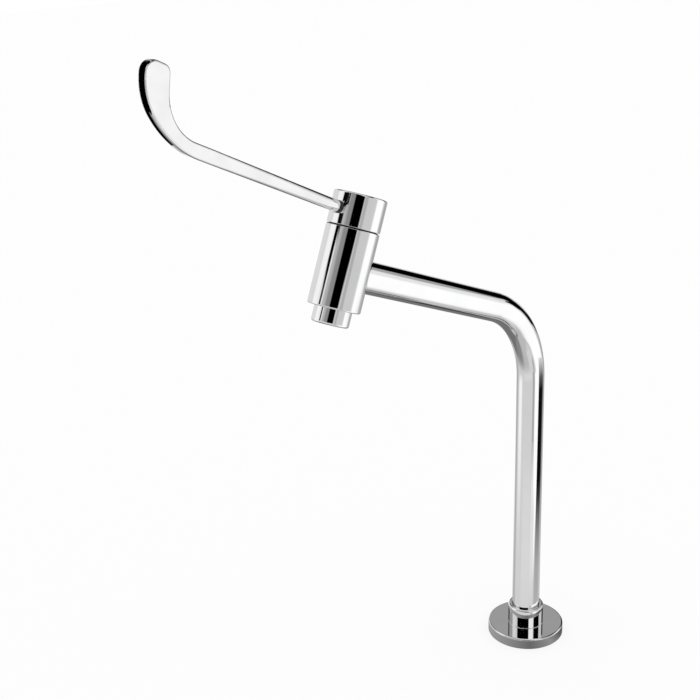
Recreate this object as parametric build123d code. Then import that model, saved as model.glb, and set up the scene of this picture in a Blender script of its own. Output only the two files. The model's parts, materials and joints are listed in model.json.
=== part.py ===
from build123d import *
import math
import os

# Elbow lever tap for one hole in a deck. Lengths are in millimetres and angles in degrees.
# The deck is the plane z = 0 and the column rises along +Z. The arm and the lever point along -Y,
# and the plane x = 0 is the plane of symmetry.

# Clearances
fit_gap = 0.05              # radial, between parts that are pushed or screwed into each other
running_gap = 0.05          # radial, where the spindle turns in its bore
turning_gap = 0.3           # between parts that turn past each other
overrun = 1.0               # how far a cutting shape runs past the face that it cuts

# Angles and shares of plain figures
quarter_turn = 90.0
half_turn = 180.0
hexagon_corner_share = 1 / math.cos(math.pi / 6)    # radius of the corners, against that of the flats
hole_row_share = math.sin(math.pi / 3)  # distance of the rows of a triangular pattern, against its pitch
bevel_height_share = 0.5    # height of the bevel on a nut's corners, against its width

# Column tube
tube_radius = 12.7
tube_wall = 1.5
column_height = 320.0       # from the deck to where the lines of column and arm meet
arm_slope = 22.4            # rise of the arm above the horizontal
arm_reach = 251.0           # from that meeting point to the axis of the valve head
bend_radius = 87.4

# Foot on the deck
flange_radius = 35.3
flange_thickness = 10.2
flange_edge_radius = 1.4
flange_recess_width = 6.0
flange_recess_depth = 5.0
gasket_width = 5.0
gasket_depth = 2.2
gasket_rim = 3.8            # metal between the gasket and the edge of the flange
shank_radius = 10.48        # thread G 1/2
shank_bore_radius = 6.5
shank_length = 55.0         # below the deck plane
shank_hole_gap = 0.12
shank_chamfer = 1.0
supply_thread_length = 18.0     # at the free end of the shank, below the groove
thread_groove_width = 2.0       # between the supply thread and the thread of the backnut
thread_groove_depth = 1.2
shoulder_width = 4.9        # step of the shank that holds the flange down
shoulder_thickness = 4.0
socket_floor = 1.8          # from the top of the flange to the end of the column
socket_wall = 2.15
socket_height = 10.8        # of the socket of the column above the flange
collar_wall = 1.62
collar_height = 19.2        # above the flange
collar_edge_radius = 2.0
collar_foot_edge_radius = 0.5
collar_lip_gap = 0.25
olive_height = 3.6
olive_width = 1.85
olive_chamfer = 0.9

# Clamp below the deck
deck_thickness = 20.0
washer_radius = 20.0
washer_hole_gap = 0.3
rubber_washer_thickness = 3.0
steel_washer_thickness = 2.0
backnut_half_width = 15.0   # half the distance across the flats
backnut_height = 8.0

# Ceramic discs and what holds them, from the axis of the head outwards
port_inner_radius = 2.6
port_outer_radius = 6.0
port_half_angle = 37.0
seal_width = 1.8
seal_gap = 0.1
seal_height = 2.4
disc_radius = 9.3
disc_thickness = 3.0
ear_length = 1.3            # of the two ears that keep the fixed disc from turning
ear_width = 3.0
skirt_wall = 2.0
skirt_rise = 1.8            # from the valve seat to the lower end of the skirt
passage_gap = 1.2           # round the skirt, where the water leaves the discs
window_width = 9.0
headwork_thread_step = 0.42
headwork_thread_clear = 5.6     # from the lower end of the skirt to the thread
headwork_flange_width = 2.9
headwork_flange_thickness = 1.2
headwork_gasket_thickness = 0.8
hexagon_half_width = 13.0
hexagon_height = 3.2
neck_radius = 8.0
neck_height = 3.2
bush_roof = 5.1             # from the ceiling over the spindle foot to the top of the body

# Spindle
spindle_radius = 5.0
foot_radius = 8.8
foot_thickness = 3.0
stop_depth = 2.1            # radial depth of the recess in the foot that meets the stop
stop_half_angle = 12.0
stop_gap_angle = 1.0
stop_middle_angle = 45.0
tongue_length = 5.0
tongue_width = 2.2
tongue_height = 1.4
tongue_offset = 4.9
tongue_gap = 0.1
thrust_washer_thickness = 0.6
thrust_gap = 0.1
o_ring_thickness = 1.3
o_ring_land = 1.6           # metal beside each ring groove
clip_width = 2.3
clip_thickness = 0.8
clip_groove_depth = 0.8
clip_opening = 5.0
clip_gap = 0.05
square_half_width = 3.45
square_length = 8.4

# Valve body
seat_wall = 2.25            # from the socket of the arm to the valve seat above it
channel_radius = 5.5
well_floor_drop = 7.0       # from the line of the arm down to the floor of the well
downcomer_radius = 2.3
downcomer_count = 5
downcomer_step_angle = 40.0
inlet_thread_radius = 10.48     # thread G 1/2
inlet_thread_length = 6.0
socket_side_depth = 1.1     # of the socket of the arm where it is shallowest
outlet_roof_wall = 2.0
outlet_chamber_height = 2.5
outlet_neck_radius = 9.5
outlet_neck_height = 2.5
body_lower_edge_radius = 1.2
body_upper_edge_radius = 0.3

# Joint of arm and valve body
nipple_bore_radius = 7.5
nipple_insertion = 12.0     # how far the nipple reaches into the arm
inlet_ring_thickness = 1.3
inlet_ring_radius = 10.1    # of the middle of the ring

# Aerator
aerator_thread_radius = 12.0    # thread M24 x 1
aerator_thread_depth = 9.8
aerator_washer_thickness = 1.6
aerator_step = 2.6          # of the visible skirt over the thread
aerator_skirt_height = 12.0
aerator_edge_radius = 1.8
aerator_wall = 1.6
aerator_lip_width = 1.0
aerator_lip_height = 1.6
insert_wall = 1.2
insert_height = 9.0
grille_thickness = 1.4
grille_hole_radius = 0.85
grille_pitch = 2.6
screen_thickness = 0.4
screen_count = 2
screen_rim = 0.8
screen_hole_radius = 0.75

# Handle cap
glide_ring_gap = 0.45
glide_ring_wall = 1.33
glide_ring_height = 3.6
glide_flange_width = 1.4
glide_flange_thickness = 0.7
cap_running_gap = 0.1
cap_wall = 2.5
cap_roof = 3.5
cap_crown = 6.0             # metal above the bore of the hub
cap_upper_edge_radius = 1.2
cap_lower_edge_radius = 0.3
hub_bore_radius = 7.5
hub_wall = 3.0
hub_gap = 1.1               # between the spindle clip and the hub
hub_end_gap = 0.85          # between the end of the square and the roof of the hub
neck_gap = 0.6              # round the neck of the bush, where the cap turns past it
grub_screw_radius = 2.5
grub_screw_length = 10.0
grub_boss_radius = 5.5
grub_height_on_hub = 4.4
grub_socket_half_width = 1.25
grub_socket_depth = 3.0

# Elbow lever, along its own line, which starts on the axis of the head
lever_slope = 3.66          # rise of the lever from the plane square to the axis of the head
lever_height_on_hub = 1.1
lever_root_half = 4.4       # the root is round, and this is its radius
lever_root_flat = 0.1       # half width of the flats that start there
bar_half_height = 5.05
bar_half_width = 3.6
bar_edge_radius = 1.8
heel_distance = 157.6       # from the axis of the head to where the bar starts to turn up
stud_radius = 3.0
stud_depth_in_lever = 9.0
stud_hole_extra = 1.0
lock_ring_radius = 4.7
lock_ring_thickness = 3.6
lock_ring_edge_radius = 0.8
spot_face_depth = 0.1
lever_boss_radius = 6.0

# Blade at the end of the lever
heel_radius = 74.3          # outer side, where the bar starts to turn up
heel_angle = 36.3
back_radius = 42.2          # outer side, above the heel
back_angle = 39.4
tip_outer_radius = 8.0
blade_lead = 10.0           # straight stretch of the blade before the heel
tip_flat_length = 10.8      # of the top edge, between the tip's arc and the corner of the inner side
tip_inner_radius = 6.0
inner_angle = 73.0          # of the inner side against the bar
inner_radius = 32.7

# Radii and heights of the foot
gasket_radius = flange_radius - gasket_rim
flange_recess_radius = gasket_radius - gasket_width - gasket_rim
shoulder_radius = shank_radius + shoulder_width
shoulder_bottom = flange_thickness - shoulder_thickness
socket_bore_radius = tube_radius + fit_gap
socket_radius = socket_bore_radius + socket_wall
column_bottom = flange_thickness + socket_floor
socket_top = flange_thickness + socket_height
collar_bore_radius = socket_radius + fit_gap
collar_radius = collar_bore_radius + collar_wall
collar_ceiling = socket_top + olive_height
collar_top = flange_thickness + collar_height
collar_lip_radius = tube_radius + collar_lip_gap
rubber_washer_bottom = -deck_thickness - rubber_washer_thickness
steel_washer_bottom = rubber_washer_bottom - steel_washer_thickness
backnut_bottom = steel_washer_bottom - backnut_height

# Radii of the head, from the axis outwards
seal_inner_radius = port_outer_radius + seal_gap
seal_radius = seal_inner_radius + seal_width
well_radius = port_outer_radius
downcomer_circle = seal_radius + seal_gap + downcomer_radius
skirt_bore_radius = disc_radius + turning_gap
skirt_radius = skirt_bore_radius + skirt_wall
chamber_radius = skirt_radius + passage_gap
headwork_thread_radius = chamber_radius + headwork_thread_step
headwork_flange_radius = headwork_thread_radius + headwork_flange_width
glide_ring_inner_radius = headwork_flange_radius + glide_ring_gap
glide_ring_radius = glide_ring_inner_radius + glide_ring_wall
cap_bore_radius = glide_ring_radius + cap_running_gap
head_radius = cap_bore_radius + cap_wall
hub_radius = hub_bore_radius + hub_wall
spindle_bore_radius = spindle_radius + running_gap

# Heights in the head, along its axis, from the line of the arm upwards
arm_socket_radius = tube_radius + fit_gap
seat_z = arm_socket_radius + seat_wall
skirt_bottom = seat_z + skirt_rise
fixed_disc_bottom = seat_z + seal_height
discs_meet = fixed_disc_bottom + disc_thickness
foot_bottom = discs_meet + disc_thickness
foot_top = foot_bottom + foot_thickness
bush_ceiling = foot_top + thrust_washer_thickness + thrust_gap
body_top = bush_ceiling + bush_roof
headwork_flange_bottom = body_top + headwork_gasket_thickness
headwork_thread_bottom = skirt_bottom + headwork_thread_clear
hexagon_bottom = headwork_flange_bottom + headwork_flange_thickness
hexagon_top = hexagon_bottom + hexagon_height
neck_top = hexagon_top + neck_height
clip_bottom = neck_top + thrust_gap
clip_top = clip_bottom + clip_thickness
shaft_top = clip_top + clip_thickness
square_top = shaft_top + square_length
hub_bottom = clip_top + hub_gap
hub_roof = square_top + hub_end_gap
cap_bottom = body_top + glide_flange_thickness + turning_gap
cap_top = hub_roof + cap_crown
lever_z = hub_bottom + lever_height_on_hub
grub_screw_z = hub_bottom + grub_height_on_hub

# Heights in the head, from the line of the arm downwards
outlet_roof = -(inlet_thread_radius + outlet_roof_wall)
outlet_floor = outlet_roof - outlet_chamber_height
aerator_shoulder = outlet_floor - outlet_neck_height
body_bottom = aerator_shoulder - aerator_thread_depth
aerator_top = aerator_shoulder - aerator_washer_thickness
aerator_skirt_top = body_bottom - turning_gap
aerator_bottom = aerator_skirt_top - aerator_skirt_height
aerator_lip_top = aerator_bottom + aerator_lip_height
aerator_bore_radius = aerator_thread_radius - aerator_wall
aerator_mouth_radius = aerator_bore_radius - aerator_lip_width

# Distances from the axis of the head, back along the arm
arm_socket_bottom = math.sqrt(head_radius ** 2 - arm_socket_radius ** 2) - socket_side_depth
inlet_port_bottom = arm_socket_bottom - inlet_thread_length

# Distances from the axis of the head, out along the lever
lever_rise = math.sin(math.radians(lever_slope))
lever_run = math.cos(math.radians(lever_slope))
ring_face_edge = math.sqrt(head_radius ** 2 - lock_ring_radius ** 2)
spot_face_distance = ring_face_edge * lever_run - lock_ring_radius * lever_rise - spot_face_depth
lever_root_distance = spot_face_distance + lock_ring_thickness
blade_start = heel_distance - blade_lead

# Frames: the head stands on its own axis, with the arm arriving along its +Y side
slope_run = math.cos(math.radians(arm_slope))
slope_rise = math.sin(math.radians(arm_slope))
head_centre = (0, -arm_reach * slope_run, column_height + arm_reach * slope_rise)
head_frame = Plane(origin=head_centre, x_dir=(1, 0, 0), z_dir=(0, slope_rise, slope_run))
inlet_frame = Plane(origin=(0, 0, 0), x_dir=(1, 0, 0), z_dir=(0, 1, 0))
grub_frame = Plane(origin=(0, 0, grub_screw_z), x_dir=(1, 0, 0), z_dir=(0, 1, 0))
lever_frame = Plane(origin=(0, 0, lever_z), x_dir=(1, 0, 0), z_dir=(0, -lever_run, lever_rise))
blade_frame = Plane(origin=(0, 0, 0), x_dir=(0, 0, 1), z_dir=(-1, 0, 0))


def disc(radius, low, high):
    """Cylinder on the Z axis between two heights."""
    return Pos(0, 0, low) * extrude(Circle(radius), high - low)


def ring(outer, inner, low, high):
    """Plain ring on the Z axis between two heights."""
    return Pos(0, 0, low) * extrude(Circle(outer) - Circle(inner), high - low)


def block(centre_x, centre_y, size_x, size_y, low, high):
    """Upright block between two heights."""
    return Pos(centre_x, centre_y, low) * extrude(Rectangle(size_x, size_y), high - low)


def hexagon(half_width, low, high):
    """Hexagonal prism with chamfered corners between two heights."""
    corner_radius = half_width * hexagon_corner_share
    prism = Pos(0, 0, low) * extrude(RegularPolygon(corner_radius, 6), high - low)
    corner_loss = corner_radius - half_width
    blank = disc(corner_radius, low, high)
    blank = chamfer(blank.edges().sort_by(Axis.Z)[-1], corner_loss * bevel_height_share, corner_loss)
    return prism & blank


def sector(outer, inner, half_angle, middle_angle, low, high):
    """Part of a ring within an angle on each side of a direction."""
    reach = outer + overrun
    edge = reach * math.tan(math.radians(half_angle))
    triangle = make_face(Polyline((0, 0), (reach, -edge), (reach, edge), close=True))
    wedge = Pos(0, 0, low) * extrude(triangle, high - low)
    return Rot(0, 0, middle_angle) * (ring(outer, inner, low, high) & wedge)


def torus(middle_radius, thickness, middle_z):
    """Round ring on the Z axis."""
    return Pos(0, 0, middle_z) * Torus(middle_radius, thickness / 2)


def turned(outline):
    """Solid of revolution round Z of an outline drawn as radius and height."""
    return revolve(Plane.XZ * outline, Axis.Z)


def on_head(shape):
    """A shape drawn on the axis of the head, put in its place on the tap."""
    return head_frame.location * shape


def on_lever(shape):
    """A shape drawn on the line of the lever, put in its place on the tap."""
    return on_head(lever_frame.location * shape)


def rounded_top(shape, radius):
    """The shape with the outer edge of its top rounded."""
    return fillet(shape.faces().sort_by(Axis.Z)[-1].outer_wire().edges(), radius)


def rounded_bottom(shape, radius):
    """The shape with the outer edge of its underside rounded."""
    return fillet(shape.faces().sort_by(Axis.Z)[0].outer_wire().edges(), radius)


def make_base_flange():
    body = rounded_top(disc(flange_radius, 0, flange_thickness), flange_edge_radius)
    body -= disc(shank_radius + shank_hole_gap, -overrun, flange_thickness)
    body -= disc(shoulder_radius + shank_hole_gap, shoulder_bottom, flange_thickness + overrun)
    body -= ring(gasket_radius, gasket_radius - gasket_width, -overrun, gasket_depth)
    recess_inner = flange_recess_radius - flange_recess_width
    body -= ring(flange_recess_radius, recess_inner, -overrun, flange_recess_depth)
    return body


def make_flange_gasket():
    inner = gasket_radius - gasket_width + fit_gap
    return ring(gasket_radius - fit_gap, inner, 0, gasket_depth)


def make_mounting_shank():
    thread = disc(shank_radius, -shank_length, shoulder_bottom)
    thread = chamfer(thread.edges().sort_by(Axis.Z)[0], shank_chamfer)
    body = thread + disc(shoulder_radius, shoulder_bottom, flange_thickness)
    body += disc(socket_radius, flange_thickness, socket_top)
    body -= disc(shank_bore_radius, -shank_length - overrun, column_bottom)
    body -= disc(socket_bore_radius, column_bottom, socket_top + overrun)
    groove_bottom = supply_thread_length - shank_length
    groove_floor = shank_radius - thread_groove_depth
    body -= ring(shank_radius + overrun, groove_floor, groove_bottom, groove_bottom + thread_groove_width)
    return body


def make_column_collar():
    body = disc(collar_radius, flange_thickness, collar_top)
    body = rounded_top(body, collar_edge_radius)
    body = rounded_bottom(body, collar_foot_edge_radius)
    body -= disc(collar_bore_radius, flange_thickness - overrun, collar_ceiling)
    body -= disc(collar_lip_radius, flange_thickness, collar_top + overrun)
    return body


def make_column_olive():
    inner = socket_bore_radius
    outer = inner + olive_width
    outline = Polyline(
        (inner, socket_top),
        (outer - olive_chamfer, socket_top),
        (outer, socket_top + olive_chamfer),
        (outer, collar_ceiling - olive_chamfer),
        (outer - olive_chamfer, collar_ceiling),
        (inner, collar_ceiling),
        close=True,
    )
    return turned(make_face(outline))


def make_column_tube():
    """Column, bend and arm in one, as far as the floor of its socket in the valve body."""
    arm_end = arm_reach - arm_socket_bottom
    path = FilletPolyline(
        (0, 0, column_bottom),
        (0, 0, column_height),
        (0, -arm_end * slope_run, column_height + arm_end * slope_rise),
        radius=bend_radius,
    )
    start = Plane(origin=(0, 0, column_bottom))
    outside = sweep(start * Circle(tube_radius), path)
    inside = sweep(start * Circle(tube_radius - tube_wall), path)
    return outside - inside


def make_deck_washer_rubber():
    hole_radius = shank_radius + washer_hole_gap
    return ring(washer_radius, hole_radius, rubber_washer_bottom, -deck_thickness)


def make_deck_washer_steel():
    hole_radius = shank_radius + washer_hole_gap
    return ring(washer_radius, hole_radius, steel_washer_bottom, rubber_washer_bottom)


def make_backnut():
    """Nut with its bevelled side down."""
    nut = mirror(hexagon(backnut_half_width, -steel_washer_bottom, -backnut_bottom), Plane.XY)
    hole_radius = shank_radius + fit_gap
    return nut - disc(hole_radius, backnut_bottom - overrun, steel_washer_bottom + overrun)


def make_spout_nipple():
    """Threaded in the valve body, and set in the end of the arm."""
    arm_bore_radius = tube_radius - tube_wall
    ring_top = arm_socket_bottom + inlet_ring_thickness + seal_gap
    groove_inner = inlet_ring_radius - inlet_ring_thickness / 2 - seal_gap
    body = disc(inlet_thread_radius, inlet_port_bottom + seal_gap, arm_socket_bottom)
    body += disc(arm_bore_radius - fit_gap, arm_socket_bottom, arm_socket_bottom + nipple_insertion)
    body -= ring(tube_radius, groove_inner, arm_socket_bottom, ring_top)
    body -= disc(nipple_bore_radius, inlet_port_bottom, arm_socket_bottom + nipple_insertion + overrun)
    return on_head(inlet_frame.location * body)


def make_nipple_o_ring():
    middle = arm_socket_bottom + (inlet_ring_thickness + seal_gap) / 2
    return on_head(inlet_frame.location * torus(inlet_ring_radius, inlet_ring_thickness, middle))


def make_valve_body():
    body = disc(head_radius, body_bottom, body_top)
    body = rounded_bottom(body, body_lower_edge_radius)
    body = rounded_top(body, body_upper_edge_radius)
    arm_socket = disc(arm_socket_radius, arm_socket_bottom, head_radius + overrun)
    port = disc(inlet_thread_radius + fit_gap, inlet_port_bottom, arm_socket_bottom + overrun)
    channel = disc(channel_radius, 0, inlet_port_bottom + overrun)
    body -= inlet_frame.location * (arm_socket + port + channel)
    body -= disc(well_radius, -well_floor_drop, seat_z + overrun)
    body -= disc(chamber_radius, seat_z, body_top)
    thread_bore_radius = headwork_thread_radius + fit_gap
    body -= disc(thread_bore_radius, headwork_thread_bottom - fit_gap, body_top + overrun)
    for index in range(downcomer_count):
        angle = (index - (downcomer_count - 1) / 2) * downcomer_step_angle
        hole = disc(downcomer_radius, outlet_roof - overrun, seat_z + overrun)
        body -= Rot(0, 0, angle) * Pos(0, -downcomer_circle, 0) * hole
    body -= disc(chamber_radius, outlet_floor, outlet_roof)
    body -= disc(outlet_neck_radius, aerator_shoulder - overrun, outlet_floor + overrun)
    body -= disc(aerator_thread_radius + fit_gap, body_bottom - overrun, aerator_shoulder)
    return on_head(body)


def make_headwork_bush():
    body = disc(skirt_radius, skirt_bottom, headwork_thread_bottom)
    body += disc(headwork_thread_radius, headwork_thread_bottom, headwork_flange_bottom)
    body += disc(headwork_flange_radius, headwork_flange_bottom, hexagon_bottom)
    body += hexagon(hexagon_half_width, hexagon_bottom, hexagon_top)
    body += disc(neck_radius, hexagon_top, neck_top)
    body -= disc(spindle_bore_radius, bush_ceiling - overrun, neck_top + overrun)
    body -= disc(skirt_bore_radius, skirt_bottom - overrun, bush_ceiling)
    window = block(0, 0, window_width, (skirt_radius + overrun) * 2, discs_meet, foot_bottom)
    body -= window
    ear_slot_width = ear_width + fit_gap * 2
    ear_reach = disc_radius + ear_length + fit_gap
    ear_slot = block(0, 0, ear_reach * 2, ear_slot_width, skirt_bottom - overrun, discs_meet)
    body -= ear_slot
    stop_inner = foot_radius - stop_depth + turning_gap
    stop = sector(skirt_radius, stop_inner, stop_half_angle, stop_middle_angle,
                  foot_bottom + turning_gap, bush_ceiling + overrun)
    return on_head(body + stop)


def make_headwork_gasket():
    outer = headwork_flange_radius - seal_gap
    inner = headwork_thread_radius + seal_gap
    return on_head(ring(outer, inner, body_top, headwork_flange_bottom))


def make_seat_seal():
    return on_head(ring(seal_radius, seal_inner_radius, seat_z, fixed_disc_bottom))


def make_fixed_disc():
    body = disc(disc_radius, fixed_disc_bottom, discs_meet)
    ear_span = (disc_radius + ear_length) * 2
    body += block(0, 0, ear_span, ear_width, fixed_disc_bottom, discs_meet)
    for middle_angle in (quarter_turn, -quarter_turn):
        body -= sector(port_outer_radius, port_inner_radius, port_half_angle, middle_angle,
                       fixed_disc_bottom - overrun, discs_meet + overrun)
    return on_head(body)


def make_rotating_disc():
    """Closed at rest: its notches lie a quarter turn from the ports of the fixed disc."""
    body = disc(disc_radius, discs_meet, foot_bottom)
    for middle_angle in (0, half_turn):
        body -= sector(disc_radius + overrun, port_inner_radius, port_half_angle, middle_angle,
                       discs_meet - overrun, foot_bottom + overrun)
    slot_length = tongue_length + tongue_gap * 2
    slot_width = tongue_width + tongue_gap * 2
    slot_floor = foot_bottom - tongue_height - tongue_gap
    for side in (1, -1):
        body -= block(0, side * tongue_offset, slot_length, slot_width, slot_floor, foot_bottom + overrun)
    return on_head(body)


def ring_groove_heights():
    """Middle heights of the two sealing rings in the neck of the bush."""
    first = neck_top - o_ring_land - o_ring_thickness / 2
    return [first, first - o_ring_land - o_ring_thickness]


def make_spindle():
    body = disc(foot_radius, foot_bottom, foot_top)
    recess_half_angle = quarter_turn / 2 + stop_half_angle + stop_gap_angle
    recess_middle_angle = stop_middle_angle - quarter_turn / 2
    body -= sector(foot_radius + overrun, foot_radius - stop_depth, recess_half_angle,
                   recess_middle_angle, foot_bottom - overrun, foot_top + overrun)
    for side in (1, -1):
        body += block(0, side * tongue_offset, tongue_length, tongue_width,
                      foot_bottom - tongue_height, foot_bottom)
    body += disc(spindle_radius, foot_top, shaft_top)
    for middle in ring_groove_heights():
        half = o_ring_thickness / 2 + seal_gap
        body -= ring(spindle_radius + overrun, spindle_radius - o_ring_thickness,
                     middle - half, middle + half)
    body -= ring(spindle_radius + overrun, spindle_radius - clip_groove_depth,
                 clip_bottom - clip_gap, clip_top + clip_gap)
    body += block(0, 0, square_half_width * 2, square_half_width * 2, shaft_top, square_top)
    return on_head(body)


def make_spindle_o_rings():
    """Two rings in one node, each a solid of its own."""
    middle_radius = spindle_bore_radius - running_gap / 2 - o_ring_thickness / 2
    rings = [on_head(torus(middle_radius, o_ring_thickness, z)) for z in ring_groove_heights()]
    return Compound(children=rings)


def make_spindle_clip():
    inner = spindle_radius - clip_groove_depth + clip_gap
    body = ring(inner + clip_width, inner, clip_bottom, clip_top)
    body -= block(0, inner + clip_width / 2, clip_opening, clip_width * 2,
                  clip_bottom - overrun, clip_top + overrun)
    return on_head(body)


def make_thrust_washer():
    top = bush_ceiling - thrust_gap
    return on_head(ring(foot_radius - stop_depth, spindle_bore_radius, foot_top, top))


def make_drive_adapter():
    side = (square_half_width + fit_gap) * 2
    body = disc(hub_bore_radius - fit_gap, hub_bottom, hub_roof)
    body -= block(0, 0, side, side, hub_bottom - overrun, square_top + fit_gap)
    return on_head(body)


def make_glide_ring():
    body = ring(glide_ring_radius, glide_ring_inner_radius, body_top, body_top + glide_ring_height)
    flange_outer = glide_ring_radius + glide_flange_width
    body += ring(flange_outer, glide_ring_inner_radius, body_top, body_top + glide_flange_thickness)
    return on_head(body)


def make_handle_cap():
    """Hollow cap with a hub for the adapter and a boss for each of lever and grub screw."""
    cavity_top = cap_top - cap_roof
    boss_start = hub_bore_radius + hub_wall / 2
    boss_end = cap_bore_radius + cap_wall / 2
    body = disc(head_radius, cap_bottom, cap_top)
    body = rounded_top(body, cap_upper_edge_radius)
    body = rounded_bottom(body, cap_lower_edge_radius)
    body -= disc(cap_bore_radius, cap_bottom - overrun, cavity_top)
    hub = disc(hub_radius, hub_bottom, cavity_top)
    lever_boss = lever_frame.location * disc(lever_boss_radius, boss_start, boss_end)
    grub_boss = grub_frame.location * disc(grub_boss_radius, boss_start, boss_end)
    body += hub + lever_boss + grub_boss
    body -= disc(hub_bore_radius, hub_bottom - overrun, hub_roof)
    body -= disc(neck_radius + neck_gap, cap_bottom - overrun, hub_bottom)
    stud_hole = disc(stud_radius + fit_gap, 0, head_radius)
    ring_seat = disc(lock_ring_radius + fit_gap, spot_face_distance, head_radius + overrun)
    body -= lever_frame.location * (stud_hole + ring_seat)
    body -= grub_frame.location * disc(grub_screw_radius + fit_gap, 0, head_radius + overrun)
    return on_head(body)


def make_cap_grub_screw():
    start = hub_bore_radius
    end = start + grub_screw_length
    body = disc(grub_screw_radius, start, end)
    socket_corner_radius = grub_socket_half_width * hexagon_corner_share
    socket = extrude(RegularPolygon(socket_corner_radius, 6), grub_socket_depth + overrun)
    body -= Pos(0, 0, end - grub_socket_depth) * socket
    return on_head(grub_frame.location * body)


def make_lever_stud():
    start = hub_bore_radius + stud_radius * lever_rise + seal_gap
    return on_lever(disc(stud_radius, start, lever_root_distance + stud_depth_in_lever))


def make_lever_lock_ring():
    body = disc(lock_ring_radius, spot_face_distance, lever_root_distance)
    body = rounded_top(body, lock_ring_edge_radius)
    return on_lever(body - disc(stud_radius + fit_gap, 0, lever_root_distance + overrun))


def make_blade():
    """Turned-up blade, flat on both sides, drawn on the line of the lever."""
    heel = JernArc((heel_distance, -bar_half_height), (1, 0), heel_radius, heel_angle)
    back = JernArc(heel @ 1, heel % 1, back_radius, back_angle)
    tip = JernArc(back @ 1, back % 1, tip_outer_radius, half_turn - heel_angle - back_angle)
    tip_top = tip @ 1
    corner = Vector(tip_top.X - tip_flat_length, tip_top.Y)
    inner_run = (corner.Y - bar_half_height) / math.tan(math.radians(inner_angle))
    inner_foot = Vector(corner.X - inner_run, bar_half_height)
    upper_start = (blade_start, bar_half_height)
    lower_start = (blade_start, -bar_half_height)
    sides = Polyline(tip_top, corner, inner_foot, upper_start, lower_start, heel @ 0)
    outline = make_face([heel, back, tip, sides])
    outline = fillet(outline.vertices().sort_by_distance(corner)[0], tip_inner_radius)
    outline = fillet(outline.vertices().sort_by_distance(inner_foot)[0], inner_radius)
    blade = extrude(blade_frame * outline, bar_half_width, both=True)
    rims = blade.faces().sort_by(Axis.X)
    edges = rims[0].edges() + rims[-1].edges()
    edges = [edge for edge in edges if edge.center().Z > blade_start + fit_gap]
    return fillet(edges, bar_edge_radius)


def make_bar():
    """Bar of the lever, which passes from a round root to the rounded rectangle of the blade."""
    root_side = lever_root_half * 2
    root = RectangleRounded(root_side, root_side, lever_root_half - lever_root_flat)
    end = RectangleRounded(bar_half_width * 2, bar_half_height * 2, bar_edge_radius)
    return loft([Pos(0, 0, lever_root_distance) * root, Pos(0, 0, blade_start) * end])


def make_elbow_lever():
    hole_depth = stud_depth_in_lever + stud_hole_extra
    hole = disc(stud_radius + fit_gap, lever_root_distance - overrun, lever_root_distance + hole_depth)
    return on_lever(make_bar() + make_blade() - hole)


def make_aerator_housing():
    body = disc(aerator_thread_radius, aerator_skirt_top, aerator_top)
    skirt = disc(aerator_thread_radius + aerator_step, aerator_bottom, aerator_skirt_top)
    body += rounded_bottom(skirt, aerator_edge_radius)
    body -= disc(aerator_bore_radius, aerator_lip_top, aerator_top + overrun)
    body -= disc(aerator_mouth_radius, aerator_bottom - overrun, aerator_lip_top + overrun)
    return on_head(body)


def make_aerator_washer():
    outer = aerator_thread_radius - seal_gap
    return on_head(ring(outer, outlet_neck_radius, aerator_top, aerator_shoulder))


def grille_holes(hole_radius, pitch, reach, low, high):
    """Holes on a triangular pattern, as far out as a radius allows."""
    holes = []
    row_step = pitch * hole_row_share
    rows = int(reach / row_step)
    columns = int(reach / pitch) + 1
    for row in range(-rows, rows + 1):
        offset = pitch / 2 if row % 2 else 0
        for column in range(-columns, columns + 1):
            x = column * pitch + offset
            y = row * row_step
            if math.hypot(x, y) + hole_radius <= reach:
                holes.append(Pos(x, y, 0) * disc(hole_radius, low, high))
    return holes


def make_aerator_insert():
    outer = aerator_bore_radius - fit_gap
    inner = outer - insert_wall
    top = aerator_lip_top + insert_height
    body = disc(outer, aerator_lip_top, top)
    body -= disc(inner, aerator_lip_top + grille_thickness, top + overrun)
    holes = grille_holes(grille_hole_radius, grille_pitch, aerator_mouth_radius - fit_gap,
                         aerator_lip_top - overrun, aerator_lip_top + grille_thickness + overrun)
    return on_head(body - holes)


def make_aerator_screens():
    """Fine screens on top of the insert, each a solid of its own."""
    outer = aerator_bore_radius - fit_gap
    screens = []
    for index in range(screen_count):
        low = aerator_lip_top + insert_height + index * screen_thickness
        high = low + screen_thickness
        holes = grille_holes(screen_hole_radius, grille_pitch, outer - screen_rim,
                             low - overrun, high + overrun)
        screens.append(on_head(disc(outer, low, high) - holes))
    return Compound(children=screens)


sub_parts = {
    "base_flange": make_base_flange,
    "flange_gasket": make_flange_gasket,
    "mounting_shank": make_mounting_shank,
    "column_collar": make_column_collar,
    "column_olive": make_column_olive,
    "column_tube": make_column_tube,
    "deck_washer_rubber": make_deck_washer_rubber,
    "deck_washer_steel": make_deck_washer_steel,
    "backnut": make_backnut,
    "spout_nipple": make_spout_nipple,
    "nipple_o_ring": make_nipple_o_ring,
    "valve_body": make_valve_body,
    "headwork_bush": make_headwork_bush,
    "headwork_gasket": make_headwork_gasket,
    "seat_seal": make_seat_seal,
    "fixed_disc": make_fixed_disc,
    "rotating_disc": make_rotating_disc,
    "spindle": make_spindle,
    "spindle_o_rings": make_spindle_o_rings,
    "spindle_clip": make_spindle_clip,
    "thrust_washer": make_thrust_washer,
    "drive_adapter": make_drive_adapter,
    "glide_ring": make_glide_ring,
    "handle_cap": make_handle_cap,
    "cap_grub_screw": make_cap_grub_screw,
    "lever_stud": make_lever_stud,
    "lever_lock_ring": make_lever_lock_ring,
    "elbow_lever": make_elbow_lever,
    "aerator_housing": make_aerator_housing,
    "aerator_washer": make_aerator_washer,
    "aerator_insert": make_aerator_insert,
    "aerator_screens": make_aerator_screens,
}

os.makedirs("parts", exist_ok=True)
for node_name, make in sub_parts.items():
    export_step(make(), f"parts/{node_name}.step")
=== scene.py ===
import json
import math

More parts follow.
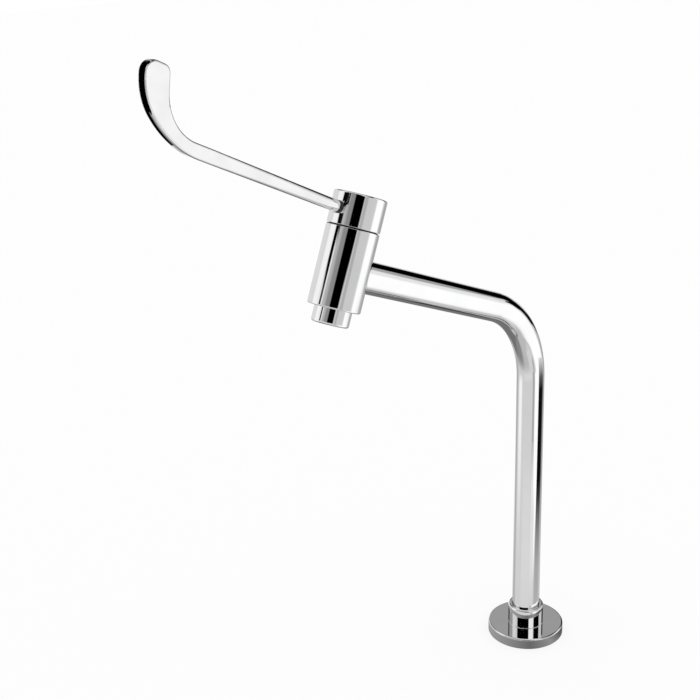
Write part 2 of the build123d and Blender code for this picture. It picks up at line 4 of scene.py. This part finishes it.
import bpy
from mathutils import Matrix, Vector

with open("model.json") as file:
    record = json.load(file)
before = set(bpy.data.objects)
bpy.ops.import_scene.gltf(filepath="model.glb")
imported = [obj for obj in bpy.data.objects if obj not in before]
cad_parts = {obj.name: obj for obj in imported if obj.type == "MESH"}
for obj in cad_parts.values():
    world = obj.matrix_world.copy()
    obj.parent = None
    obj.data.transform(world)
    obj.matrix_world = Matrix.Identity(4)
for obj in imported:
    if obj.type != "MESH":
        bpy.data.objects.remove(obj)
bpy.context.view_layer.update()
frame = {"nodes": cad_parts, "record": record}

# Lengths are in metres and angles in degrees, except where a comment says otherwise. Azimuth 0 looks out
# along -Y, where the lever points, and 90 along +X. The camera stands at azimuth 36 from the column and 45
# from the valve head.
half_turn = 180.0
full_turn = 360.0

# Camera, fitted to the outlines in the photograph
camera_place = (0.63614, -0.86090, 0.68884)
camera_right = (0.7140563, 0.6993908, -0.03124282)
camera_up = (-0.22425662, 0.27077851, 0.93615595)
sensor_width = 36.0             # millimetres
picture_width = 700.0           # pixels
focal_length_pixels = 1274.75
clip_near = 0.05
clip_far = 60.0

# Light and backdrop
plain_light = 1.0
camera_white = 1.0
floor_half_size = 6.0
floor_colour = (0.93, 0.93, 0.93)
floor_roughness = 0.8
floor_own_white_share = 0.8     # part of the floor's white that no shadow reaches

# Display tones run from 0 to 255 and follow the usual display curve.
white_tone = 255
curve_start = 0.04045
curve_start_slope = 12.92
curve_offset = 0.055
curve_power = 2.4

# Noise of the materials
noise_low = 0.35                # the noise texture's usual range
noise_high = 0.65
smudge_detail = 3
haze_detail = 4
haze_scale_ratio = 2            # roughness changes twice as fast as the smudges
wave_detail = 1
grain_detail = 5
patch_detail = 3
patch_scale_ratio = 1 / 6       # roughness changes six times as slowly as the grain

# Metals: two colours, roughness from and to, scale of the smudges, scale and depth of the waves
chrome_colour = (0.90, 0.90, 0.905)
chrome_smudge = (0.875, 0.877, 0.885)
chrome_reflectance = chrome_colour[0]
metals = {
    "chrome": ((chrome_colour, chrome_smudge), (0.02, 0.045), 45, 55, 0.000012),
    "lever_chrome": (((0.83, 0.83, 0.835), (0.78, 0.78, 0.79)), (0.03, 0.07), 60, 70, 0.000014),
    "brass": (((0.72, 0.53, 0.25), (0.62, 0.44, 0.19)), (0.18, 0.34), 90, 700, 0.00002),
    "steel": (((0.62, 0.63, 0.65), (0.5, 0.51, 0.54)), (0.22, 0.4), 120, 900, 0.00002),
}

# Rubber, plastics and ceramic: two colours, roughness from and to, scale and depth of the grain
grained_materials = {
    "rubber": (((0.018, 0.018, 0.019), (0.035, 0.035, 0.036)), (0.6, 0.8), 1500, 0.00003),
    "plastic": (((0.8, 0.8, 0.77), (0.87, 0.87, 0.85)), (0.35, 0.5), 1200, 0.00001),
    "black_plastic": (((0.004, 0.004, 0.004), (0.008, 0.008, 0.008)), (0.4, 0.55), 1200, 0.00001),
    "ceramic": (((0.9, 0.89, 0.85), (0.94, 0.93, 0.9)), (0.12, 0.2), 2500, 0.000004),
}

# What polished metal mirrors of the studio. Each area has a name, azimuth from, to and soft edge,
# elevation from, to and soft edge, and the tone that the metal then shows. A later area covers an
# earlier one.
base_tone = 206
studio_areas = [
    ("front below", -100, 130, 50, -100, -38, 14, 184),
    ("front right below", 40, 84, 16, -58, -34, 12, 208),
    ("rear below", 146, 184, 8, -80, -44, 12, 194),
    ("right below", 92, 152, 14, -58, -34, 20, 252),
    ("left below", 240, 350, 40, -90, -42, 20, 132),
    ("left below near", 236, 290, 16, -90, -43, 8, 112),
    ("rear left below", 184, 246, 12, -90, -30, 10, 112),
    ("arm line below", 182, 204, 8, -67, -55, 4, 60),
    ("left wall", 252, 296, 16, -14, 18, 12, 217),
    ("left wall near the deck", 256, 286, 14, -40, -18, 8, 174),
    ("left window", 300, 331, 12, -27, 30, 8, 243),
    ("front grey", -12, 22, 12, 11, 30, 5, 180),
    ("front dark grey", 6, 36, 16, 11, 30, 5, 136),
    ("front sliver", 326, 350.5, 4, 11, 28, 5, 228),
    ("front line", 330.6, 344.4, 2.2, 19, 23.6, 1.4, 4),
    ("front line low", 335.4, 344.2, 2.6, 11, 19.4, 1.4, 24),
    ("front line on the cap", 333, 351.5, 3, 22.6, 30, 1.4, 8),
    ("right of the camera", 60, 82, 5, -12, 26, 8, 172),
    ("beside the camera", 58, 69.5, 3, -2, 26, 6, 197),
    ("right wall", 82, 116, 14, -14, 26, 8, 200),
    ("camera side", 27.4, 62.2, 4.4, 3, 40, 3, 0),
    ("camera side high", 50, 65.6, 3.6, 9.5, 40, 3, 0),
    ("front deck", -10, 70, 20, -32, -26, 5, 215),
    ("deck dip", 60, 75, 6, -31, -18, 3, 166),
    ("deck dip low", 70, 81, 6, -41, -30, 4, 170),
    ("right deck", 79, 107, 6, -27.4, -17, 2.4, 255),
    ("right deck low", 90, 160, 10, -42, -22, 6, 255),
    ("right window", 121, 161, 9, -22, 7, 5, 255),
    ("right window low", 133.5, 143, 3, -48, -20, 4, 255),
    ("right roof", 140, 165, 8, 3, 22, 8, 228),
    ("rear grey", 172, 214, 16, -29, -13, 4, 164),
    ("rear upper grey", 162, 175, 7, 12.5, 24, 2, 160),
    ("rear left window", 223, 254, 10, -28, 6, 8, 255),
    ("rear black", 172.5, 211, 5, 4.4, 14, 3, 0),
    ("rear black edge", 190, 207, 6, 1.5, 9, 3, 24),
    ("rear black high", 175.5, 235, 5, 10, 28, 3, 0),
    ("rear black middle", 164, 194, 5, -1.5, 9, 2.5, 0),
    ("rear black low", 168, 192.5, 6, -9.5, 1, 2, 2),
    ("rear black foot", 178, 198, 6, -12.5, -7, 3, 6),
    ("roof", -18, 57, 3, 27.5, 46, 6, 0),
    ("roof gap", 58.5, 88, 4, 24, 46, 6, 245),
    ("roof right", 92, 136, 5, 27, 46, 6, 0),
    ("roof rear right", 141, 166, 6, 28, 38, 4, 205),
    ("roof rear", 168, 204, 8, 28, 38, 4, 52),
    ("roof rear left", 206, 230, 6, 28, 38, 4, 152),
    ("roof left", 232, 270, 16, 26, 46, 6, 74),
    ("roof left grey", 272, 304, 16, 26, 46, 6, 152),
    ("roof left window", 304, 332, 10, 26, 46, 6, 220),
    ("roof top dark", 142, 234, 10, 39, 66, 5, 8),
]

# Painted shadow on the deck beside the flange, seen only in the metal, by azimuth: darker at the right and
# behind, lighter at the left
contact_shadow_tones = [(0, 140), (45, 104), (85, 142), (115, 92), (165, 94), (235, 165), (320, 152)]
contact_inner_radius = 0.0354
contact_outer_radius = 0.0560
contact_height = 0.0001

# Cards that only the metal sees; they paint reflections. The column's cards are narrow glowing strips close
# to its right side that paint the bands of its reflection: azimuth from and to at the foot, the same at the
# top, and the tones at each height.
card_radius = 0.020
column_reflection_cards = {
    "column_card": ((85, 124), (90.5, 124), [(0.028, 176), (0.070, 166), (0.100, 140), (0.142, 52),
                                             (0.160, 10), (0.250, 14), (0.262, 90), (0.280, 215)]),
    "column_edge_card": ((124, 134), (124, 134), [(0.028, 178), (0.070, 176), (0.100, 165), (0.142, 140),
                                                  (0.165, 100), (0.250, 80), (0.262, 130), (0.280, 225)]),
    "column_foot_card": ((74, 88.5), (84, 88.5), [(0.028, 192), (0.070, 205), (0.100, 215), (0.130, 240)]),
    "column_front_card": ((52, 79), (54, 62), [(0.028, 208), (0.070, 222), (0.150, 228), (0.175, 212),
                                               (0.200, 185)]),
}
arc_steps = 72

# The blade's cards are black and paint dark reflections on the blade. One stands to the left of the blade
# and one is bent round its front edge and tip. Each has two long edges, given as x and the points (y, z).
blade_rim = [(-0.402, 0.545), (-0.4055, 0.552), (-0.408, 0.561), (-0.409, 0.571), (-0.408, 0.583),
             (-0.4035, 0.593), (-0.3965, 0.598), (-0.387, 0.5995)]
blade_reflection_cards = {
    "blade_card": (
        (-0.050, [(-0.362, 0.503), (-0.385, 0.514), (-0.404, 0.527), (-0.419, 0.545), (-0.426, 0.575),
                  (-0.420, 0.600), (-0.399, 0.618)]),
        (-0.050, [(-0.362, 0.488), (-0.392, 0.494), (-0.420, 0.508), (-0.442, 0.535), (-0.450, 0.575),
                  (-0.446, 0.608), (-0.430, 0.640)])),
    "blade_rim_card": ((-0.022, blade_rim), (0.020, blade_rim)),
}


def linear(tone):
    """Light level of a display tone."""
    share = tone / white_tone
    if share < curve_start:
        return share / curve_start_slope
    return ((share + curve_offset) / (1 + curve_offset)) ** curve_power


def mirrored_level(tone):
    """Light level that chrome shows as a display tone."""
    return linear(tone) / chrome_reflectance


def link(tree, source, target):
    tree.links.new(source, target)


def feed(tree, sockets, values):
    """Set each socket to its number, or link it to its source."""
    for socket, value in zip(sockets, values):
        if isinstance(value, bpy.types.NodeSocket):
            link(tree, value, socket)
        else:
            socket.default_value = value


def math_node(tree, operation, *values):
    """A Math node whose inputs are numbers or sockets. Gives its output."""
    node = tree.nodes.new("ShaderNodeMath")
    node.operation = operation
    feed(tree, node.inputs, values)
    return node.outputs[0]


def axes_of(tree, source):
    """The node that splits a place or direction into X, Y and Z."""
    axes = tree.nodes.new("ShaderNodeSeparateXYZ")
    link(tree, source, axes.inputs[0])
    return axes


def surface_axes(tree):
    """X, Y and Z of the lit point."""
    place = tree.nodes.new("ShaderNodeNewGeometry")
    return axes_of(tree, place.outputs["Position"])


def azimuth_of(tree, axes):
    """Azimuth in degrees of a place or direction."""
    forward = math_node(tree, "MULTIPLY", axes.outputs["Y"], -1.0)
    return math_node(tree, "DEGREES", math_node(tree, "ARCTAN2", axes.outputs["X"], forward))


def soft_step(tree, value, edge, softness):
    """1 where the value is below the edge and 0 above it, with a soft edge."""
    node = tree.nodes.new("ShaderNodeMapRange")
    node.interpolation_type = "SMOOTHSTEP"
    link(tree, value, node.inputs["Value"])
    node.inputs["From Min"].default_value = edge - softness / 2
    node.inputs["From Max"].default_value = edge + softness / 2
    node.inputs["To Min"].default_value = 1
    node.inputs["To Max"].default_value = 0
    return node.outputs["Result"]


def mixed(tree, share, first, second):
    """Number between two others. Gives the output socket."""
    node = tree.nodes.new("ShaderNodeMix")
    node.data_type = "FLOAT"
    feed(tree, (node.inputs[0], node.inputs[2], node.inputs[3]), (share, first, second))
    return node.outputs[0]


def inside_band(tree, offset, half_width, softness):
    """1 where an offset from the middle is small and 0 elsewhere, with a soft edge on both sides."""
    return soft_step(tree, math_node(tree, "ABSOLUTE", offset), half_width, softness)


def add_world():
    """White for the camera and plain for the light. Metal mirrors the studio's light and dark areas."""
    world = bpy.data.worlds.new("studio")
    bpy.context.scene.world = world
    world.use_nodes = True
    tree = world.node_tree
    tree.nodes.clear()
    coordinates = tree.nodes.new("ShaderNodeTexCoord")
    direction = axes_of(tree, coordinates.outputs["Generated"])
    azimuth = azimuth_of(tree, direction)
    elevation = math_node(tree, "DEGREES", math_node(tree, "ARCSINE", direction.outputs["Z"]))
    level = mirrored_level(base_tone)
    for _, turn_from, turn_to, turn_soft, rise_from, rise_to, rise_soft, tone in studio_areas:
        aside = math_node(tree, "SUBTRACT", azimuth, (turn_from + turn_to) / 2)
        aside = math_node(tree, "WRAP", aside, half_turn, -half_turn)
        above = math_node(tree, "SUBTRACT", elevation, (rise_from + rise_to) / 2)
        inside = math_node(tree, "MULTIPLY",
                           inside_band(tree, aside, (turn_to - turn_from) / 2, turn_soft),
                           inside_band(tree, above, (rise_to - rise_from) / 2, rise_soft))
        level = mixed(tree, inside, level, mirrored_level(tone))
    rays = tree.nodes.new("ShaderNodeLightPath")
    seen = mixed(tree, rays.outputs["Is Glossy Ray"], plain_light, level)
    seen = mixed(tree, rays.outputs["Is Camera Ray"], seen, camera_white)
    background = tree.nodes.new("ShaderNodeBackground")
    link(tree, seen, background.inputs["Color"])
    output = tree.nodes.new("ShaderNodeOutputWorld")
    link(tree, background.outputs[0], output.inputs["Surface"])
    world.cycles.sampling_method = "NONE"


def add_camera():
    """The photograph's camera."""
    right = Vector(camera_right)
    up = Vector(camera_up)
    back = right.cross(up)
    camera = bpy.data.cameras.new("camera")
    camera.sensor_width = sensor_width
    camera.lens = focal_length_pixels / picture_width * sensor_width
    camera.clip_start = clip_near
    camera.clip_end = clip_far
    thing = bpy.data.objects.new("camera", camera)
    thing.matrix_world = Matrix.Translation(camera_place) @ Matrix((right, up, back)).transposed().to_4x4()
    bpy.context.scene.collection.objects.link(thing)
    bpy.context.scene.camera = thing


def add_stage_mesh(name, points, faces, material):
    """Mesh that belongs to the studio and not to the tap."""
    mesh = bpy.data.meshes.new(name)
    mesh.from_pydata(points, [], faces)
    mesh.materials.append(material)
    thing = bpy.data.objects.new(name, mesh)
    bpy.context.scene.collection.objects.link(thing)
    return thing


def show_to_metal_only(thing):
    """Hide a card from every ray but the mirrored ones."""
    thing.visible_camera = False
    thing.visible_diffuse = False
    thing.visible_shadow = False
    thing.visible_transmission = False


def card_material(name, level):
    """A material that only shines, at a number or at a socket made by a function of the node tree."""
    material = bpy.data.materials.new(name)
    material.use_nodes = True
    tree = material.node_tree
    light = tree.nodes.new("ShaderNodeEmission")
    if callable(level):
        link(tree, level(tree), light.inputs["Color"])
    else:
        light.inputs["Color"].default_value = (level, level, level, 1)
    link(tree, light.outputs[0], tree.nodes["Material Output"].inputs["Surface"])
    return material


def tone_ramp(tree, share, stops_wanted):
    """Light that runs smoothly through a list of shares and tones."""
    ramp = tree.nodes.new("ShaderNodeValToRGB")
    link(tree, share, ramp.inputs[0])
    stops = ramp.color_ramp.elements
    while len(stops) < len(stops_wanted):
        stops.new(0.5)          # the place is set below
    for stop, (place, tone) in zip(stops, stops_wanted):
        level = mirrored_level(tone)
        stop.position = place
        stop.color = (level, level, level, 1)
    return ramp.outputs["Color"]


def level_by_height(tones):
    """Light of a card by height. Gives a function of the node tree."""
    top = tones[-1][0]

    def level(tree):
        share = math_node(tree, "DIVIDE", surface_axes(tree).outputs["Z"], top)
        return tone_ramp(tree, share, [(height / top, tone) for height, tone in tones])

    return level


def contact_shadow_level(tree):
    """Painted contact shadow on the deck round the flange, by azimuth, seen only in the metal."""
    azimuth = azimuth_of(tree, surface_axes(tree))
    share = math_node(tree, "DIVIDE", math_node(tree, "WRAP", azimuth, full_turn, 0.0), full_turn)
    closed = contact_shadow_tones + [(full_turn, contact_shadow_tones[0][1])]
    return tone_ramp(tree, share, [(angle / full_turn, tone) for angle, tone in closed])


def arc_points(radius, height, turn_from, turn_to):
    """Points on a level arc round the column, by azimuth."""
    points = []
    for step in range(arc_steps + 1):
        angle = math.radians(turn_from + (turn_to - turn_from) * step / arc_steps)
        points.append((radius * math.sin(angle), -radius * math.cos(angle), height))
    return points


def add_band(name, first, second, material):
    """Card between two rows of points."""
    count = len(first)
    faces = [(step, step + 1, count + step + 1, count + step) for step in range(count - 1)]
    show_to_metal_only(add_stage_mesh(name, first + second, faces, material))


def add_cards():
    """Painted contact shadow round the flange, and the cards that paint reflections on the column and the
    blade.
    """
    # The glowing ring round the flange is painted shadow that only the metal mirrors.
    inner = arc_points(contact_inner_radius, contact_height, 0, full_turn)
    outer = arc_points(contact_outer_radius, contact_height, 0, full_turn)
    add_band("painted_contact_shadow", inner, outer, card_material("painted_contact_shadow", contact_shadow_level))
    # Each column card glows at tones by height and paints reflection bands on the column.
    for name, (low_turns, high_turns, tones) in column_reflection_cards.items():
        low = arc_points(card_radius, tones[0][0], *low_turns)
        high = arc_points(card_radius, tones[-1][0], *high_turns)
        add_band(name, low, high, card_material(name, level_by_height(tones)))
    # The blade's black cards paint dark reflections on its flat side and rim.
    for name, edges in blade_reflection_cards.items():
        first, second = [[(side, *place) for place in places] for side, places in edges]
        add_band(name, first, second, card_material(name, 0))


def new_material(name):
    material = bpy.data.materials.new(name)
    material.use_nodes = True
    return material, material.node_tree, material.node_tree.nodes["Principled BSDF"]


def floor_material():
    """Matt and pale. The camera sees most of it as plain white, and the rest takes the shadow."""
    material, tree, shader = new_material("floor")
    shader.inputs["Base Color"].default_value = (*floor_colour, 1)
    shader.inputs["Roughness"].default_value = floor_roughness
    shader.inputs["Specular IOR Level"].default_value = 0.0
    white = tree.nodes.new("ShaderNodeEmission")
    white.inputs["Color"].default_value = (1, 1, 1, 1)
    rays = tree.nodes.new("ShaderNodeLightPath")
    share = math_node(tree, "MULTIPLY", rays.outputs["Is Camera Ray"], floor_own_white_share)
    mix = tree.nodes.new("ShaderNodeMixShader")
    link(tree, share, mix.inputs["Fac"])
    link(tree, shader.outputs[0], mix.inputs[1])
    link(tree, white.outputs[0], mix.inputs[2])
    link(tree, mix.outputs[0], tree.nodes["Material Output"].inputs["Surface"])
    return material


def add_floor():
    """Floor that the metal doesn't mirror, because the studio's areas stand for it."""
    half = floor_half_size
    corners = [(-half, -half, 0), (half, -half, 0), (half, half, 0), (-half, half, 0)]
    floor = add_stage_mesh("floor", corners, [(0, 1, 2, 3)], floor_material())
    floor.visible_glossy = False


def noise_socket(tree, scale, detail, low, high):
    """Number that wanders between two values over the surface."""
    place = tree.nodes.new("ShaderNodeNewGeometry")
    noise = tree.nodes.new("ShaderNodeTexNoise")
    link(tree, place.outputs["Position"], noise.inputs["Vector"])
    noise.inputs["Scale"].default_value = scale
    noise.inputs["Detail"].default_value = detail
    spread = tree.nodes.new("ShaderNodeMapRange")
    link(tree, noise.outputs["Fac"], spread.inputs["Value"])
    spread.inputs["From Min"].default_value = noise_low
    spread.inputs["From Max"].default_value = noise_high
    spread.inputs["To Min"].default_value = low
    spread.inputs["To Max"].default_value = high
    return spread.outputs["Result"]


def colour_between(tree, share, first, second):
    """Colour between two others. Gives the output socket."""
    mix = tree.nodes.new("ShaderNodeMix")
    mix.data_type = "RGBA"
    link(tree, share, mix.inputs[0])
    mix.inputs[6].default_value = (*first, 1)
    mix.inputs[7].default_value = (*second, 1)
    return mix.outputs[2]


def add_bump(tree, shader, height, depth):
    """Relief from a height of 0 to 1, with its depth in metres."""
    bump = tree.nodes.new("ShaderNodeBump")
    bump.inputs["Strength"].default_value = 1
    bump.inputs["Distance"].default_value = depth
    link(tree, height, bump.inputs["Height"])
    link(tree, bump.outputs["Normal"], shader.inputs["Normal"])


def metal(name, colours, roughness, smudge_scale, wave_scale, wave_depth):
    """Metal with faint smudges and the slow waves that polishing or turning leaves."""
    material, tree, shader = new_material(name)
    shader.inputs["Metallic"].default_value = 1
    smudges = noise_socket(tree, smudge_scale, smudge_detail, 0, 1)
    link(tree, colour_between(tree, smudges, *colours), shader.inputs["Base Color"])
    haze = noise_socket(tree, smudge_scale * haze_scale_ratio, haze_detail, *roughness)
    link(tree, haze, shader.inputs["Roughness"])
    add_bump(tree, shader, noise_socket(tree, wave_scale, wave_detail, 0, 1), wave_depth)
    return material


def grained(name, colours, roughness, grain_scale, grain_depth):
    """Rubber, plastic or ceramic with a fine grain."""
    material, tree, shader = new_material(name)
    grain = noise_socket(tree, grain_scale, grain_detail, 0, 1)
    link(tree, colour_between(tree, grain, *colours), shader.inputs["Base Color"])
    patches = noise_socket(tree, grain_scale * patch_scale_ratio, patch_detail, *roughness)
    link(tree, patches, shader.inputs["Roughness"])
    add_bump(tree, shader, grain, grain_depth)
    return material


def dress():
    """Every solid gets the material of its slot. The lever has its own polish."""
    materials = {name: metal(name, *looks) for name, looks in metals.items()}
    for name, looks in grained_materials.items():
        materials[name] = grained(name, *looks)
    for part in frame["record"]["subparts"]:
        name = "lever_chrome" if part["node"] == "elbow_lever" else part["material_slot"]
        mesh = frame["nodes"][part["node"]].data
        mesh.materials.clear()
        mesh.materials.append(materials[name])


bpy.context.scene.view_settings.view_transform = "Standard"
add_world()
add_camera()
add_floor()
add_cards()
dress()
